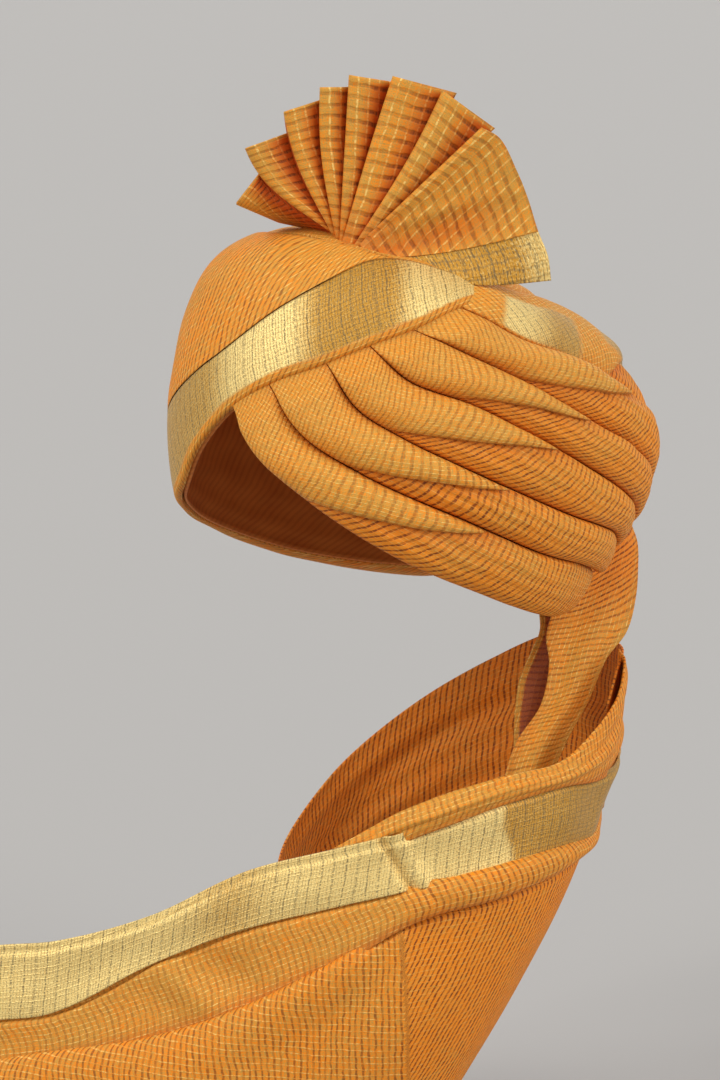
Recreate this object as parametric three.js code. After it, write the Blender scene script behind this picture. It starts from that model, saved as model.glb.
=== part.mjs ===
import * as THREE from 'three';

// A tied turban with a pleated fan on top and a long tail draped round the neck.
// Millimetres, +Z up. The wearer faces -Y and the wearer's left is +X. The origin lies on the
// axis of the head opening, at the height of the notch over the brow.

// The head form under the cloth: an ellipse in plan, squarish above its widest ring, round below.
const HEAD_HALF_WIDTH = 80;
const HEAD_HALF_LENGTH = 106;
const CROWN_RISE = 54;
const BROW_DROP = 125;
const CROWN_SQUARENESS = 2.5;
const BROW_SQUARENESS = 2;
const AIM_RISE = 90; // makes latitude close to a true angle of sight
const HEAD_SET_BACK = 5.5;
const CROWN_LEAN = THREE.MathUtils.degToRad(24);

// Cloth.
const SEAM_GAP = 0.4; // each piece stops this short of a seam
const BASE_LIFT = 0.9; // the rolls lie this far off the inner wrap
const INNER_WRAP_WALL = 2;
const FAN_CLOTH = 1.3;
const DRAPE_CLOTH = 2.4;

// The tail and the fan are set out in level axes turned from X and Y:
// across runs to the wearer's left and back, out runs to the wearer's left and front.
const QUARTER_TURN = THREE.MathUtils.degToRad(48);
const ACROSS = new THREE.Vector3(Math.cos(QUARTER_TURN), Math.sin(QUARTER_TURN), 0);
const OUT = new THREE.Vector3(Math.sin(QUARTER_TURN), -Math.cos(QUARTER_TURN), 0);
const UP = new THREE.Vector3(0, 0, 1);

const SILK = new THREE.MeshStandardMaterial({ color: 0xd9822b, roughness: 0.62, metalness: 0.05 });
const LINING_SILK = new THREE.MeshStandardMaterial({ color: 0xb4651c, roughness: 0.75, metalness: 0 });
const ZARI = new THREE.MeshStandardMaterial({ color: 0xcfae57, roughness: 0.42, metalness: 0.45 });

// Seams between rolls, each from the front panel round the wearer's left to the nape. A station is
// [longitude, latitude] in degrees on the head form: 0 is the brow, 90 the left ear, 180 the nape.
const SEAMS = {
  rim: [[11, -27], [21, -36], [37, -42], [63, -47], [96, -47], [124, -44], [151, -37]],
  seam_1: [[22, -20], [34, -29], [51, -33], [80, -34], [104, -33], [127, -29], [158, -24]],
  seam_2: [[36, -11], [46, -19], [59, -22], [80, -23], [105, -22], [133, -18], [164, -18]],
  seam_3: [[45, -3], [56, -8], [72, -8], [90, -9], [110, -9], [138, -9], [167, -12]],
  seam_4: [[55, 5], [67, 4], [84, 3], [101, 2], [120, 2], [142, 1], [169, -6]],
  seam_5: [[69, 15], [81, 14], [97, 15], [112, 14], [128, 13], [148, 8], [171, -1]],
  crown_1: [[71, 27], [82, 33], [100, 38], [120, 39], [142, 30], [158, 17], [173, 4]],
  crown_2: [[25, 27], [34, 45], [55, 63], [110, 70], [155, 52], [170, 27], [178, 9]],
  crown_3: [[-15, 27], [-24, 45], [-48, 63], [-112, 68], [-155, 50], [-170, 27], [-178, 10]],
  panel_top: [[-46, 28], [-60, 30], [-85, 30], [-110, 26], [-135, 18], [-155, 9], [-172, 1]],
};

// Rolls, each between two seams, with its height off the head form at its seams and, between them,
// its height at the front, middle and nape. fold is where the crease that crosses the roll starts
// and ends along it. A roll with an end follows its upper seam only for that share.
const ROLLS = [
  { name: 'roll_1', low: 'rim', high: 'seam_1', seam: 5, at: [7, 18, 17], fold: [0.36, 0.68], end: 0.955 },
  { name: 'roll_2', low: 'seam_1', high: 'seam_2', seam: 5, at: [8, 18, 19], fold: [0.32, 0.56] },
  { name: 'roll_3', low: 'seam_2', high: 'seam_3', seam: 5, at: [8, 18, 20], fold: [0.3, 0.58] },
  { name: 'roll_4', low: 'seam_3', high: 'seam_4', seam: 5, at: [8, 18, 23], fold: [0.3, 0.55] },
  { name: 'roll_5', low: 'seam_4', high: 'seam_5', seam: 5, at: [6, 16, 24], fold: [0.3, 0.6] },
  { name: 'crown_roll_1', low: 'seam_5', high: 'crown_1', seam: 4, at: [5, 9.5, 22], fold: [0.5, 0.75] },
  { name: 'crown_roll_2', low: 'crown_1', high: 'crown_2', seam: 3.5, at: [4, 6, 18], fold: [0.4, 0.7] },
  { name: 'crown_roll_3', low: 'crown_2', high: 'crown_3', seam: 3.5, at: [4, 7, 17], fold: [0.45, 0.7] },
  { name: 'crown_roll_4', low: 'crown_3', high: 'panel_top', seam: 3.5, at: [4, 7, 17], fold: [0.4, 0.7] },
];
const ROLL_STEPS = 18;
const ROLL_ROWS = 6;
const FOLD_DEPTH = 2.5; // how far a roll drops past the crease that crosses it

// The last wrap: sections from its tip on the wearer's left, over the brow, round the right to the nape.
// lower and upper are its edges, border is the share of its width that is gold, lift its height.
const PANEL = [
  { lower: [67, 21], upper: [68, 26], border: 1, lift: 3.6 },
  { lower: [63, 14], upper: [61, 26], border: 1, lift: 4 },
  { lower: [54, 5], upper: [50, 25], border: 1, lift: 4.4 },
  { lower: [45, -3], upper: [38, 24], border: 0.9, lift: 4.4 },
  { lower: [34, -12], upper: [26, 24], border: 0.62, lift: 4.4 },
  { lower: [21, -20], upper: [14, 24], border: 0.44, lift: 4.2 },
  { lower: [9, -28], upper: [2, 24], border: 0.33, lift: 3.8 },
  { lower: [-4, -37], upper: [-10, 25], border: 0.31, lift: 3.4 },
  { lower: [-19, -45], upper: [-26, 26], border: 0.31, lift: 3.4 },
  { lower: [-50, -48], upper: [-46, 26], border: 0.28, lift: 4.5 },
  { lower: [-84, -47], upper: [-85, 28], border: 0.24, lift: 9 },
  { lower: [-118, -43], upper: [-122, 20], border: 0.22, lift: 13 },
  { lower: [-146, -37], upper: [-150, 8], border: 0.22, lift: 15 },
  { lower: [-167, -31], upper: [-170, -2], border: 0.22, lift: 14 },
];
const NOTCH_SECTION = 6; // section of the panel at the notch over the brow
const PANEL_ALL_GOLD = 3; // sections at the tip where the gold edge is the whole panel
const PANEL_FOLDS = 3; // folds that run together towards the nape
const PANEL_FOLD_DEPTH = 3;
const PANEL_FOLDS_FROM = 0.62; // share of its length where they begin

// The tuck of cloth over the meeting rolls: sections from the rim upward.
const TUCK = [
  { left: [154, -38], right: [-169, -32], lift: 8 },
  { left: [160, -27], right: [-170, -24], lift: 12 },
  { left: [167, -16], right: [-171, -15], lift: 14 },
  { left: [171, -6], right: [-173, -6], lift: 14 },
  { left: [175, 3], right: [-175, 5], lift: 11 },
];
const TUCK_SEAM_LIFT = 5;

// Pleats of the fan. foot is the longitude of its foot on the panel's top edge; the rest are
// heights and places across of the tip where the pleat's front fold and its back fold end.
const PLEATS = [
  { foot: -3, front: [-66, 84], back: [-56, 97] },
  { foot: 14, front: [-62, 108], back: [-47, 114] },
  { foot: 18, front: [-46, 122], back: [-32, 127] },
  { foot: 22, front: [-30, 132], back: [-20, 132] },
  { foot: 26, front: [-18, 136], back: [-3, 134] },
  { foot: 30, front: [-1, 137], back: [18, 131] },
  { foot: 34, front: [20, 130], back: [40, 116] },
];
const PLEAT_FOOT_SPREAD = 2; // degrees between a front fold's foot and its back fold's
const PLEAT_FOOT_LATITUDE = 27;
const PLEAT_FOOT_LIFT = 7;
const PLEAT_TIP_OUT = 60;
const PLEAT_TIP_DEPTH = 4;
const PLEAT_FOOT_DEPTH = 0.6;

// The broad leaf of the fan: foot longitude, and its outer edge [across, out, height].
const FLAP = [
  { foot: 38, edge: [42, 56, 116] },
  { foot: 46, edge: [54, 53, 92] },
  { foot: 54, edge: [60, 51, 73] },
  { foot: 66, edge: [66, 49, 55] },
];
const FLAP_GOLD_FROM = 0.7; // the rest of its sweep is the gold edge
const FLAP_FOOT_LATITUDE = 28;
const FLAP_GOLD_GAP = 0.006; // half the gap between leaf and gold, as a share of the sweep

// The strip that hangs from the nape: its two edges [across, out] at each height.
const DROP = [
  { height: -66, left: [104, -53], right: [107, -68] },
  { height: -75, left: [102, -43], right: [110, -60] },
  { height: -86, left: [91, -36], right: [110, -54] },
  { height: -98, left: [73, -34], right: [109, -51] },
  { height: -112, left: [68, -31], right: [105, -44] },
  { height: -124, left: [69, -25], right: [95, -35] },
  { height: -140, left: [66, -13], right: [87, -24] },
  { height: -155, left: [56, 5], right: [77, -10] },
  { height: -176, left: [50, 18], right: [67, 4] },
  { height: -210, left: [50, 18], right: [65, 5] },
];

// The loop round the neck, from behind the strip to the strip's foot: its path [across, out], its
// top and its bottom. Where its lower edge lies further in, under gives that edge's path.
const LOOP = [
  { path: [101.5, -37], under: [93, -35], top: -119, bottom: -190 },
  { path: [95, -57], under: [87, -53], top: -117, bottom: -189 },
  { path: [77, -75], under: [72, -70], top: -117, bottom: -188 },
  { path: [48, -87], under: [46, -84], top: -131, bottom: -196 },
  { path: [12, -87], under: [12, -86], top: -152, bottom: -212 },
  { path: [-22, -75], top: -178, bottom: -230 },
  { path: [-45, -48], top: -203, bottom: -248 },
  { path: [-51, -14], top: -214, bottom: -256 },
  { path: [-45, 18], top: -214, bottom: -256 },
  { path: [-27, 37], top: -208, bottom: -250 },
  { path: [-3, 45], top: -202, bottom: -242 },
  { path: [22, 41], top: -194, bottom: -232 },
  { path: [39, 29], top: -184, bottom: -220 },
  { path: [48.5, 20.2], top: -176, bottom: -210 },
];

// The swag across the chest, from behind the wearer's left shoulder to its free end on the right:
// its path [across, out], and under where the lower half lies further in, then the heights where
// the cowl, the gold edge and the ply under it begin, and where that ply ends.
const SWAG = [
  { path: [101.5, -35], under: [93, -33], cowl: -119, gold: -166, ply: -189, foot: -196 },
  { path: [101, -18], under: [91, -16], cowl: -123, gold: -168, ply: -190, foot: -198 },
  { path: [97, 0], under: [88, 2], cowl: -134, gold: -169, ply: -194, foot: -199 },
  { path: [89, 18], under: [83, 18], cowl: -143, gold: -168, ply: -195, foot: -200 },
  { path: [71, 42], under: [69, 42], cowl: -155, gold: -166, ply: -194, foot: -204 },
  { path: [44, 62], cowl: -158, gold: -170, ply: -197, foot: -210 },
  { path: [10, 74], cowl: -167, gold: -180, ply: -203, foot: -217 },
  { path: [-27, 76], cowl: -184, gold: -189, ply: -211, foot: -239 },
  { path: [-65, 70], cowl: -199, gold: -200, ply: -222, foot: -260 },
  { path: [-104, 62], cowl: -219, gold: -220, ply: -239, foot: -275 },
  { path: [-143, 53], cowl: -232, gold: -233, ply: -261, foot: -283 },
  { path: [-170, 47], cowl: -236, gold: -237, ply: -267, foot: -289 },
  { path: [-190, 44], cowl: -238, gold: -239, ply: -269, foot: -294 },
];
const COWL_ENDS_AT = 8; // sections of the swag before the cowl runs out under the gold edge

// The large drape under it: head and hem [across, out, height], both from the left shoulder.
const DRAPE = [
  { head: [86, -13, -199.5], hem: [36, -2, -296] },
  { head: [83, 14, -201], hem: [30, 20, -303] },
  { head: [69, 40, -205], hem: [16, 40, -309] },
  { head: [44, 60, -211], hem: [-6, 52, -312] },
  { head: [10, 72, -218], hem: [-30, 60, -314] },
  { head: [-27, 74, -240], hem: [-60, 65, -316] },
  { head: [-65, 68, -261], hem: [-90, 64, -317] },
  { head: [-104, 60, -276], hem: [-120, 58, -318] },
  { head: [-143, 51, -284], hem: [-150, 50, -319] },
  { head: [-170, 45, -290], hem: [-172, 44, -320] },
  { head: [-190, 42, -295], hem: [-190, 41, -320] },
];
const DRAPE_BULGE = 4; // away from the wearer, half way down

// The direction of a station on the head form.
function aim([longitude, latitude]) {
  const phi = THREE.MathUtils.degToRad(longitude);
  const lambda = THREE.MathUtils.degToRad(latitude);
  const level = Math.cos(lambda);
  return new THREE.Vector3(level * Math.sin(phi), -level * Math.cos(phi), Math.sin(lambda));
}

// The point at a height off the head form, in the direction given.
function onHead(direction, lift) {
  const d = direction.clone().normalize();
  const upper = d.z >= 0;
  const rise = upper ? CROWN_RISE : BROW_DROP;
  const power = upper ? CROWN_SQUARENESS : BROW_SQUARENESS;
  const level = Math.hypot(d.x, d.y);
  const steep = Math.abs(AIM_RISE * d.z) / rise;
  const reach = (level ** power + steep ** power) ** (-1 / power);
  const point = new THREE.Vector3(HEAD_HALF_WIDTH * d.x, HEAD_HALF_LENGTH * d.y, AIM_RISE * d.z);
  point.multiplyScalar(reach);
  const spread = Math.max(level * reach, 1e-6) ** (power - 2);
  const normal = new THREE.Vector3(
    (spread * d.x * reach) / HEAD_HALF_WIDTH,
    (spread * d.y * reach) / HEAD_HALF_LENGTH,
    (Math.sign(d.z) * (steep * reach) ** (power - 1)) / rise,
  ).normalize();
  point.addScaledVector(normal, lift);
  point.applyAxisAngle(new THREE.Vector3(1, 0, 0), -CROWN_LEAN);
  point.y += HEAD_SET_BACK;
  return point;
}

// A smooth curve through stations or points, read by a share of its sections from 0 to 1.
function through(points) {
  return new THREE.CatmullRomCurve3(points, false, 'centripetal');
}

// A smooth run of one number through the rows of a table.
function numberThrough(values) {
  const points = values.map((value) => new THREE.Vector3(value, 0, 0));
  const curve = new THREE.CatmullRomCurve3(points, false, 'catmullrom');
  return (t) => curve.getPoint(t).x;
}

function turned(across, out, height) {
  return ACROSS.clone().multiplyScalar(across).addScaledVector(OUT, out).addScaledVector(UP, height);
}

// A closed body between two sheets, each a function of (t, v) over the unit square.
function bodyBetween(outer, inner, steps, rows) {
  const positions = [];
  const triangles = [];
  const across = rows + 1;
  const sheetSize = (steps + 1) * across;
  for (const sheet of [outer, inner]) {
    for (let i = 0; i <= steps; i += 1) {
      for (let j = 0; j <= rows; j += 1) positions.push(...sheet(i / steps, j / rows).toArray());
    }
  }
  const quad = (a, b, c, d) => triangles.push(a, b, c, a, c, d);
  for (let i = 0; i < steps; i += 1) {
    for (let j = 0; j < rows; j += 1) {
      const a = i * across + j;
      quad(a, a + across, a + across + 1, a + 1);
      quad(sheetSize + a, sheetSize + a + 1, sheetSize + a + across + 1, sheetSize + a + across);
    }
  }
  for (let i = 0; i < steps; i += 1) {
    const a = i * across;
    quad(a, sheetSize + a, sheetSize + a + across, a + across);
    quad(a + rows, a + rows + across, sheetSize + a + rows + across, sheetSize + a + rows);
  }
  for (let j = 0; j < rows; j += 1) {
    const last = steps * across;
    quad(j, j + 1, sheetSize + j + 1, sheetSize + j);
    quad(last + j, sheetSize + last + j, sheetSize + last + j + 1, last + j + 1);
  }
  return facingOut(positions, triangles);
}

// A geometry from vertices and triangles, turned inside out if its faces point inward.
function facingOut(positions, triangles) {
  const corner = (k) => new THREE.Vector3().fromArray(positions, 3 * k);
  let volume = 0;
  for (let k = 0; k < triangles.length; k += 3) {
    volume += corner(triangles[k]).dot(corner(triangles[k + 1]).cross(corner(triangles[k + 2])));
  }
  const order = volume < 0 ? [...triangles].reverse() : triangles;
  const geometry = new THREE.BufferGeometry();
  geometry.setAttribute('position', new THREE.Float32BufferAttribute(positions, 3));
  geometry.setIndex(order);
  geometry.computeVertexNormals();
  return geometry;
}

// A cloth of even thickness about a sheet.
function cloth(sheet, steps, rows, thickness) {
  const normalAt = (t, v) => {
    const dt = 0.5 / steps;
    const dv = 0.5 / rows;
    const along = sheet(Math.min(1, t + dt), v).sub(sheet(Math.max(0, t - dt), v));
    const over = sheet(t, Math.min(1, v + dv)).sub(sheet(t, Math.max(0, v - dv)));
    return along.cross(over).normalize();
  };
  const side = (reach) => (t, v) => sheet(t, v).addScaledVector(normalAt(t, v), reach);
  return bodyBetween(side(thickness / 2), side(-thickness / 2), steps, rows);
}

// Keeps a share from 0 to 1 clear of both ends by the seam gap.
function insetShare(share, length) {
  const margin = SEAM_GAP / Math.max(length, 4 * SEAM_GAP);
  return margin + share * (1 - 2 * margin);
}

// A body on the head form between two curves of stations, with a height for each (t, v).
function bodyOnHead(lowCurve, highCurve, liftAt, steps, rows) {
  const direction = (t, v) => {
    const low = lowCurve(t);
    const high = highCurve(t);
    const width = onHead(low, 0).distanceTo(onHead(high, 0));
    return low.lerp(high, insetShare(v, width));
  };
  const length = onHead(lowCurve(0), 0).distanceTo(onHead(lowCurve(1), 0));
  const at = (t) => insetShare(t, length);
  const outer = (t, v) => onHead(direction(at(t), v), liftAt(t, v));
  const inner = (t, v) => onHead(direction(at(t), v), BASE_LIFT);
  return bodyBetween(outer, inner, steps, rows);
}

const meshes = [];
function add(name, geometry, material) {
  const mesh = new THREE.Mesh(geometry, material);
  mesh.name = name;
  meshes.push(mesh);
}

// Rolls: highest near the lower edge, with a step down past the crease that crosses them.
function buildRoll({ name, low, high, seam, at, fold, end = 1 }) {
  const lowCurve = through(SEAMS[low].map(aim));
  const highCurve = through(SEAMS[high].map(aim));
  const height = numberThrough(at);
  const { smoothstep } = THREE.MathUtils;
  const liftAt = (t, v) => {
    const round = Math.sin(Math.PI * v ** 0.8) ** 0.7;
    const past = (t - fold[0]) / (fold[1] - fold[0]) - v;
    const drop = FOLD_DEPTH * smoothstep(past, -0.1, 0.25) * (1 - smoothstep(t, fold[1], 1));
    return seam + (height(t) - seam - drop) * round;
  };
  const lowAt = (t) => lowCurve.getPoint(t);
  const highAt = (t) => highCurve.getPoint(t * end);
  add(name, bodyOnHead(lowAt, highAt, liftAt, ROLL_STEPS, ROLL_ROWS), SILK);
}
ROLLS.forEach(buildRoll);

// The panel and its gold edge.
function buildPanel() {
  const lower = through(PANEL.map((row) => aim(row.lower)));
  const upper = through(PANEL.map((row) => aim(row.upper)));
  const border = numberThrough(PANEL.map((row) => row.border));
  const lift = numberThrough(PANEL.map((row) => row.lift));
  const split = (t) => lower.getPoint(t).lerp(upper.getPoint(t), Math.min(border(t), 1));
  const mainFrom = PANEL_ALL_GOLD / (PANEL.length - 1);
  const folds = (t, v) => {
    const depth = PANEL_FOLD_DEPTH * THREE.MathUtils.smoothstep(t, PANEL_FOLDS_FROM, PANEL_FOLDS_FROM + 0.2);
    return depth * Math.sin(2 * Math.PI * PANEL_FOLDS * v);
  };
  add('front_border', bodyOnHead((t) => lower.getPoint(t), split, lift, 34, 3), ZARI);
  const mainAt = (t) => mainFrom + t * (1 - mainFrom);
  const mainLift = (t, v) => lift(mainAt(t)) + folds(mainAt(t), v);
  const mainUpper = (t) => upper.getPoint(mainAt(t));
  add('front_panel', bodyOnHead((t) => split(mainAt(t)), mainUpper, mainLift, 26, 9), SILK);
}
buildPanel();

// The tuck at the nape.
function buildTuck() {
  const left = through(TUCK.map((row) => aim(row.left)));
  const right = through(TUCK.map((row) => aim(row.right)));
  const lift = numberThrough(TUCK.map((row) => row.lift));
  const liftAt = (t, v) => TUCK_SEAM_LIFT + (lift(t) - TUCK_SEAM_LIFT) * Math.sin(Math.PI * v) ** 0.6;
  add('nape_tuck', bodyOnHead((t) => left.getPoint(t), (t) => right.getPoint(t), liftAt, 8, 5), SILK);
}
buildTuck();

// The inner wrap: a wall that follows the rim all round and closes over the crown.
function buildInnerWrap() {
  const browStations = PANEL.slice(NOTCH_SECTION).map((row) => row.lower).reverse();
  const rimStations = [...SEAMS.rim, [180, -33], ...browStations];
  const rim = new THREE.CatmullRomCurve3(rimStations.map(aim), true, 'centripetal');
  const turns = 36;
  const rings = 6;
  const positions = [];
  const triangles = [];
  const ringSize = turns * rings + 1;
  const pole = new THREE.Vector3(0, 0, 1);
  for (const lift of [0, -INNER_WRAP_WALL]) {
    for (let j = 0; j < rings; j += 1) {
      for (let i = 0; i < turns; i += 1) {
        positions.push(...onHead(rim.getPoint(i / turns).normalize().lerp(pole, j / rings), lift).toArray());
      }
    }
    positions.push(...onHead(pole, lift).toArray());
  }
  for (const [layer, flip] of [[0, false], [1, true]]) {
    const at = (i, j) => layer * ringSize + j * turns + (i % turns);
    const face = (a, b, c) => (flip ? triangles.push(a, c, b) : triangles.push(a, b, c));
    for (let i = 0; i < turns; i += 1) {
      for (let j = 0; j < rings - 1; j += 1) {
        face(at(i, j), at(i + 1, j), at(i + 1, j + 1));
        face(at(i, j), at(i + 1, j + 1), at(i, j + 1));
      }
      face(at(i, rings - 1), at(i + 1, rings - 1), layer * ringSize + ringSize - 1);
    }
  }
  for (let i = 0; i < turns; i += 1) {
    const next = (i + 1) % turns;
    triangles.push(i, ringSize + i, ringSize + next, i, ringSize + next, next);
  }
  add('inner_wrap', facingOut(positions, triangles), LINING_SILK);
}
buildInnerWrap();

// The fan: front and back folds in turn, from feet close together to tips spread wide.
function buildFan() {
  const fold = (longitude, tip, side) => {
    const foot = onHead(aim([longitude, PLEAT_FOOT_LATITUDE]), PLEAT_FOOT_LIFT);
    return {
      foot: foot.addScaledVector(OUT, side * PLEAT_FOOT_DEPTH),
      tip: turned(tip[0], PLEAT_TIP_OUT + side * PLEAT_TIP_DEPTH, tip[1]),
    };
  };
  const folds = PLEATS.flatMap(({ foot, front, back }) => [
    fold(foot, front, 1),
    fold(foot + PLEAT_FOOT_SPREAD, back, -1),
  ]);
  const sheet = (t, v) => {
    const place = t * (folds.length - 1);
    const k = Math.min(folds.length - 2, Math.floor(place));
    const foot = folds[k].foot.clone().lerp(folds[k + 1].foot, place - k);
    const tip = folds[k].tip.clone().lerp(folds[k + 1].tip, place - k);
    return foot.lerp(tip, v);
  };
  add('fan', cloth(sheet, folds.length - 1, 3, FAN_CLOTH), SILK);
}
buildFan();

// The broad leaf of the fan, and the gold edge along its lower side.
function buildFlap() {
  const feet = through(FLAP.map(({ foot }) => onHead(aim([foot, FLAP_FOOT_LATITUDE]), PLEAT_FOOT_LIFT)));
  const edge = through(FLAP.map((row) => turned(...row.edge)));
  const sheet = (t, v) => feet.getPoint(t).lerp(edge.getPoint(t), v);
  const part = (from, to) => (t, v) => sheet(from + t * (to - from), v);
  add('fan_flap', cloth(part(0, FLAP_GOLD_FROM - FLAP_GOLD_GAP), 8, 4, FAN_CLOTH), SILK);
  add('fan_border', cloth(part(FLAP_GOLD_FROM + FLAP_GOLD_GAP, 1), 4, 4, FAN_CLOTH), ZARI);
}
buildFlap();

// The strip from the nape.
function buildDrop() {
  const left = through(DROP.map((row) => turned(...row.left, row.height)));
  const right = through(DROP.map((row) => turned(...row.right, row.height)));
  add('tail_drop', cloth((t, v) => left.getPoint(t).lerp(right.getPoint(t), v), 16, 3, DRAPE_CLOTH), SILK);
}
buildDrop();

// A band of cloth between two edges, each a path and the height along it.
function band(rows, top, bottom) {
  const edge = ([pathKey, heightKey], inset) => {
    const path = through(rows.map((row) => turned(...(row[pathKey] ?? row.path), 0)));
    const height = numberThrough(rows.map((row) => row[heightKey]));
    return (t) => path.getPoint(t).addScaledVector(UP, height(t) + inset);
  };
  const topAt = edge(top, -SEAM_GAP);
  const bottomAt = edge(bottom, SEAM_GAP);
  return (t, v) => topAt(t).lerp(bottomAt(t), v);
}

function buildSwag() {
  add('tail_loop', cloth(band(LOOP, ['path', 'top'], ['under', 'bottom']), 30, 3, DRAPE_CLOTH), SILK);
  const cowlRows = SWAG.slice(0, COWL_ENDS_AT);
  add('tail_cowl', cloth(band(cowlRows, ['path', 'cowl'], ['path', 'gold']), 16, 3, DRAPE_CLOTH), SILK);
  add('tail_border', cloth(band(SWAG, ['path', 'gold'], ['under', 'ply']), 26, 3, DRAPE_CLOTH), ZARI);
  add('tail_upper', cloth(band(SWAG, ['under', 'ply'], ['under', 'foot']), 26, 3, DRAPE_CLOTH), SILK);
  const head = through(DRAPE.map((row) => turned(...row.head)));
  const hem = through(DRAPE.map((row) => turned(...row.hem)));
  const sheet = (t, v) => {
    const point = head.getPoint(t).lerp(hem.getPoint(t), v);
    const outward = point.clone().setZ(0).normalize();
    return point.addScaledVector(outward, DRAPE_BULGE * Math.sin(Math.PI * v));
  };
  add('tail_lower', cloth(sheet, 24, 6, DRAPE_CLOTH), SILK);
}
buildSwag();

const turban = new THREE.Group();
turban.add(...meshes);

export default turban;
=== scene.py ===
import math

import bmesh
import bpy
import numpy as np
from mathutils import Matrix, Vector, noise


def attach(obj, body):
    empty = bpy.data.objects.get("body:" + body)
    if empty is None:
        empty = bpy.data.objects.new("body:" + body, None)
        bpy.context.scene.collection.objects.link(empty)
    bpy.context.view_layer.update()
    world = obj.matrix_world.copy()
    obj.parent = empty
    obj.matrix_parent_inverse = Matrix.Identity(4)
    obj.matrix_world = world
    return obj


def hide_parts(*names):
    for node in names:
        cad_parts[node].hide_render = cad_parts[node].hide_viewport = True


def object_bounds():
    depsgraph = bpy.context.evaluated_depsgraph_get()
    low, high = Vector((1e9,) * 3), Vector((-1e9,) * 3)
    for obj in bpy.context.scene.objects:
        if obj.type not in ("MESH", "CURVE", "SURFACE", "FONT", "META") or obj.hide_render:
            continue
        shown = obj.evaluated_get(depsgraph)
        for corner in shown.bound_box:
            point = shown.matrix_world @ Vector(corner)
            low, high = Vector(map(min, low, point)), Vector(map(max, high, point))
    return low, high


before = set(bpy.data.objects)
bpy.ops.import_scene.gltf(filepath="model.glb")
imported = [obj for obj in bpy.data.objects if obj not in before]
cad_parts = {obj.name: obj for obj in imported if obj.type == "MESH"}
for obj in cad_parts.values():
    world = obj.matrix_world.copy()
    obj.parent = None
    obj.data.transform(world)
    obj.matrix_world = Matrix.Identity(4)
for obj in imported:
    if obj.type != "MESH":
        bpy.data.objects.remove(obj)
cad_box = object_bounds()

# Camera
# From the wearer's left front, a little above level, and far off with a long lens, so that the
# turban fills the upper half of the frame and its tail runs out of the lower left corner.
VIEW_TURN = math.radians(48)
VIEW_RISE = math.radians(8)
VIEW_DISTANCE = 1.7
VIEW_CENTRE = Vector((-0.0099, -0.0110, -0.0652))
VIEW_LENS = 130.3

towards_camera = Vector(
    (
        math.sin(VIEW_TURN) * math.cos(VIEW_RISE),
        -math.cos(VIEW_TURN) * math.cos(VIEW_RISE),
        math.sin(VIEW_RISE),
    )
)
# The level direction to the right of the view, the level direction out towards it, and up.
ACROSS = np.array([math.cos(VIEW_TURN), math.sin(VIEW_TURN), 0.0])
OUT = np.array([math.sin(VIEW_TURN), -math.cos(VIEW_TURN), 0.0])
UP = np.array([0.0, 0.0, 1.0])
camera = bpy.data.objects.new("camera", bpy.data.cameras.new("camera"))
bpy.context.scene.collection.objects.link(camera)
camera.data.lens = VIEW_LENS
camera.location = VIEW_CENTRE + towards_camera * VIEW_DISTANCE
camera.rotation_mode = "QUATERNION"
camera.rotation_quaternion = towards_camera.to_track_quat("Z", "Y")
bpy.context.scene.camera = camera

# Inner wrap
# The first turns of cloth, wound flat round the head and over the crown. It is plain silk, and
# shows only from below, inside the rim, where the head goes in.
HEAD_HALF_WIDTH = 80
HEAD_HALF_LENGTH = 106
CROWN_RISE = 54
BROW_DROP = 125
CROWN_SQUARENESS = 2.5
BROW_SQUARENESS = 2
AIM_RISE = 90
HEAD_SET_BACK = 5.5
INNER_CLOTH = 1.0
CROWN_LEAN = math.radians(24)
RIM = [
    (11, -27), (21, -36), (37, -42), (63, -47), (96, -47), (124, -44), (151, -37), (180, -33),
    (-167, -31), (-146, -37), (-118, -43), (-84, -47), (-50, -48), (-19, -45), (-4, -37), (9, -28),
]


def aim(stations):
    """Directions from the middle of the head of stations, each a longitude and a latitude."""
    turn, rise = np.radians(np.asarray(stations, float)).T
    return np.stack([np.cos(rise) * np.sin(turn), -np.cos(rise) * np.cos(turn), np.sin(rise)], -1)


def on_head(direction, lift):
    """Points at a height off the head form, in millimetres."""
    d = direction / np.linalg.norm(direction, axis=-1, keepdims=True)
    upper = d[..., 2] >= 0
    rise = np.where(upper, CROWN_RISE, BROW_DROP)
    power = np.where(upper, CROWN_SQUARENESS, BROW_SQUARENESS)
    level = np.hypot(d[..., 0], d[..., 1])
    steep = np.abs(AIM_RISE * d[..., 2]) / rise
    reach = (level**power + steep**power) ** (-1 / power)
    point = np.stack(
        [HEAD_HALF_WIDTH * d[..., 0], HEAD_HALF_LENGTH * d[..., 1], AIM_RISE * d[..., 2]], -1
    )
    point = point * reach[..., None]
    spread = np.maximum(level * reach, 1e-6) ** (power - 2)
    normal = np.stack(
        [
            spread * d[..., 0] * reach / HEAD_HALF_WIDTH,
            spread * d[..., 1] * reach / HEAD_HALF_LENGTH,
            np.sign(d[..., 2]) * (steep * reach) ** (power - 1) / rise,
        ],
        -1,
    )
    normal /= np.linalg.norm(normal, axis=-1, keepdims=True)
    point = point + normal * np.asarray(lift, float)[..., None]
    lean_cos, lean_sin = math.cos(CROWN_LEAN), math.sin(CROWN_LEAN)
    back = point[..., 1] * lean_cos + point[..., 2] * lean_sin + HEAD_SET_BACK
    height = -point[..., 1] * lean_sin + point[..., 2] * lean_cos
    return np.stack([point[..., 0], back, height], -1)


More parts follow.
